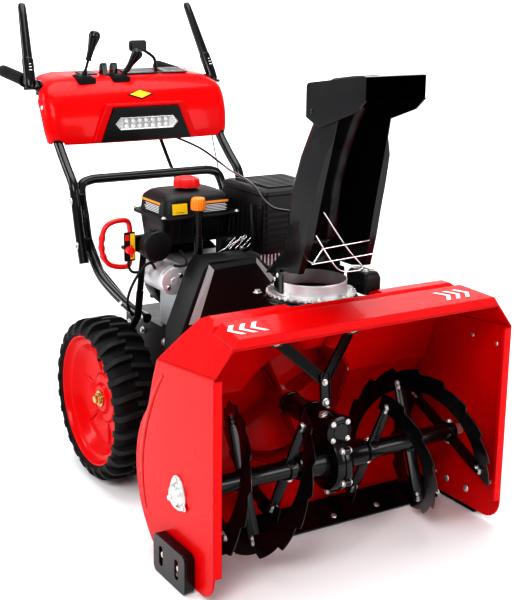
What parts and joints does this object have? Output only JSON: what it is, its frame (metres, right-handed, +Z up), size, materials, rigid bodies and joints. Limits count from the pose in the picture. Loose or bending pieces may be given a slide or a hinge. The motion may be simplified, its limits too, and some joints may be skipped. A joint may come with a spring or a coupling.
{
  "type": "two stage snow blower",
  "caption": "Wheeled two stage snow blower with twin serrated augers, swivelling discharge chute, engine, console and two handlebars.",
  "frame": {"origin": "on the ground under the centre of the bounding box", "axes": "-Y forward, where the auger mouth faces; +X to the operator's left; +Z up"},
  "size_m": [0.7972, 1.5112, 1.1433],
  "materials": {
    "red_paint": "gloss enamel",
    "black_paint": "gloss enamel",
    "black_powder_coat": "satin powder coat",
    "zinc_steel": "zinc plated, brushed",
    "cast_grey": "as cast, satin",
    "black_plastic": "moulded, fine grain",
    "gloss_black_plastic": "polished moulding",
    "red_plastic": "moulded, semi gloss",
    "amber_plastic": "translucent moulding",
    "tyre_rubber": "moulded tread rubber",
    "grip_rubber": "ribbed soft rubber",
    "belt_rubber": "fabric faced rubber",
    "lamp_glass": "clear",
    "label_white": "printed film",
    "label_yellow": "printed film",
    "chrome_trim": "polished",
    "cable_sleeve": "extruded sleeve"
  },
  "bodies": {
    "machine": {"auger_bearing_left": "zinc_steel", "auger_bearing_right": "zinc_steel", "auger_gearbox": "black_paint", "belt_cover": "black_plastic", "chassis": "black_powder_coat", "chute_drive_box": "black_plastic", "chute_flange": "black_paint", "console_shell": "red_paint", "control_panel": "black_plastic", "deflector_cable": "cable_sleeve", "drive_belt": "belt_rubber", "engine_block": "cast_grey", "fuel_tank": "black_plastic", "gearbox_bracket": "black_paint", "grip_left": "grip_rubber", "grip_right": "grip_rubber", "housing_shell": "red_paint", "impeller_drum": "red_paint", "lamp_housing": "black_plastic", "lamp_lens": "lamp_glass", "lower_handle": "black_powder_coat", "mouth_band": "red_paint", "muffler_box": "black_powder_coat", "oil_tube": "black_plastic", "recoil_housing": "black_plastic", "scraper_bar": "black_paint", "side_panel_left": "red_paint", "side_panel_right": "red_paint", "skid_shoe_left": "black_paint", "skid_shoe_right": "black_paint", "starter_motor": "zinc_steel", "switch_box": "black_plastic", "upper_handle_left": "black_powder_coat", "upper_handle_right": "black_powder_coat"},
    "drive_axle": {"axle_shaft": "zinc_steel", "rim_left": "red_paint", "rim_right": "red_paint", "tyre_left": "tyre_rubber", "tyre_right": "tyre_rubber"},
    "auger_rotor": {"auger_shaft": "zinc_steel", "auger_left": "black_paint", "auger_right": "black_paint"},
    "impeller": {"impeller_shaft": "zinc_steel", "impeller_fan": "red_paint"},
    "engine_crank": {"engine_pulley": "zinc_steel"},
    "chute": {"chute_body": "black_paint", "chute_ring": "zinc_steel", "guard_wire": "zinc_steel"},
    "deflector_hood": {"deflector": "black_paint"},
    "deflector_control": {"deflector_lever": "black_plastic"},
    "chute_control": {"chute_lever": "black_plastic"},
    "shift_control": {"shift_lever": "black_plastic"},
    "auger_clutch": {"auger_lever_left": "black_plastic"},
    "drive_clutch": {"drive_lever_right": "black_plastic"},
    "turn_trigger_left": {"trigger_left": "black_plastic"},
    "turn_trigger_right": {"trigger_right": "black_plastic"},
    "fuel_filler_cap": {"fuel_cap": "red_plastic"},
    "oil_filler_cap": {"oil_cap": "amber_plastic"},
    "key": {"ignition_key": "red_plastic"},
    "starter_grip": {"recoil_handle": "red_plastic"}
  },
  "joints": [
    {"name": "drive_axle_roll", "type": "hinge", "parent": "machine", "child": "drive_axle", "pos_m": [0, 0.00685, 0.2027], "axis": [1, 0, 0], "continuous": true},
    {"name": "auger_spin", "type": "hinge", "parent": "machine", "child": "auger_rotor", "pos_m": [0, -0.56865, 0.192], "axis": [1, 0, 0], "continuous": true},
    {"name": "impeller_spin", "type": "hinge", "parent": "machine", "child": "impeller", "pos_m": [0, -0.36065, 0.27], "axis": [0, 1, 0], "continuous": true},
    {"name": "crank_spin", "type": "hinge", "parent": "machine", "child": "engine_crank", "pos_m": [-0.06, -0.26565, 0.5], "axis": [0, 1, 0], "continuous": true},
    {"name": "chute_turn", "type": "hinge", "parent": "machine", "child": "chute", "pos_m": [0, -0.48065, 0.5525], "axis": [0, 0, 1], "range_deg": [-100, 100], "deforming": ["deflector_cable"]},
    {"name": "deflector_tilt", "type": "hinge", "parent": "chute", "child": "deflector_hood", "pos_m": [0, -0.55565, 0.944], "axis": [1, 0, 0], "range_deg": [-10, 20]},
    {"name": "deflector_lever_swing", "type": "hinge", "parent": "machine", "child": "deflector_control", "pos_m": [-0.149, 0.42435, 0.915], "axis": [1, 0, 0], "range_deg": [-10, 20]},
    {"name": "chute_lever_swing", "type": "hinge", "parent": "machine", "child": "chute_control", "pos_m": [-0.049, 0.42435, 0.915], "axis": [1, 0, 0], "range_deg": [-20, 20]},
    {"name": "shift_lever_swing", "type": "hinge", "parent": "machine", "child": "shift_control", "pos_m": [0.099, 0.46935, 0.915], "axis": [1, 0, 0], "range_deg": [-16, 16]},
    {"name": "auger_clutch_squeeze", "type": "hinge", "parent": "machine", "child": "auger_clutch", "pos_m": [0.276, 0.45435, 0.925], "axis": [1, 0, 0], "range_deg": [-41, 0], "stiffness_Nm_per_rad": 1.2, "springref_deg": 51.57},
    {"name": "drive_clutch_squeeze", "type": "hinge", "parent": "machine", "child": "drive_clutch", "pos_m": [-0.276, 0.45435, 0.925], "axis": [1, 0, 0], "range_deg": [-41, 0], "stiffness_Nm_per_rad": 1.2, "springref_deg": 51.57},
    {"name": "turn_trigger_left_press", "type": "hinge", "parent": "machine", "child": "turn_trigger_left", "pos_m": [-0.036, 0.45435, 0.945], "axis": [1, 0, 0], "range_deg": [-10, 0], "stiffness_Nm_per_rad": 0.3, "springref_deg": 8.59},
    {"name": "turn_trigger_right_press", "type": "hinge", "parent": "machine", "child": "turn_trigger_right", "pos_m": [-0.066, 0.45435, 0.945], "axis": [1, 0, 0], "range_deg": [-10, 0], "stiffness_Nm_per_rad": 0.3, "springref_deg": 8.59},
    {"name": "fuel_cap_twist", "type": "hinge", "parent": "machine", "child": "fuel_filler_cap", "pos_m": [-0.1, -0.09065, 0.7455], "axis": [0, 0, 1], "range_deg": [0, 90]},
    {"name": "oil_cap_twist", "type": "hinge", "parent": "machine", "child": "oil_filler_cap", "pos_m": [-0.12, -0.18565, 0.7024], "axis": [0, 0, 1], "range_deg": [0, 90]},
    {"name": "key_pull", "type": "slide", "parent": "machine", "child": "key", "axis": [0, -1, 0], "range_m": [0, 0.012]},
    {"name": "starter_pull", "type": "slide", "parent": "machine", "child": "starter_grip", "axis": [-1, 0, 0], "range_m": [0, 0.04], "stiffness_N_per_m": 300, "springref_m": -0.01}
  ],
  "couplings": [
    {"joint": "impeller_spin", "follows": "auger_spin", "ratio": 10},
    {"joint": "deflector_lever_swing", "follows": "deflector_tilt", "ratio": 1},
    {"joint": "chute_lever_swing", "follows": "chute_turn", "ratio": 0.18}
  ]
}
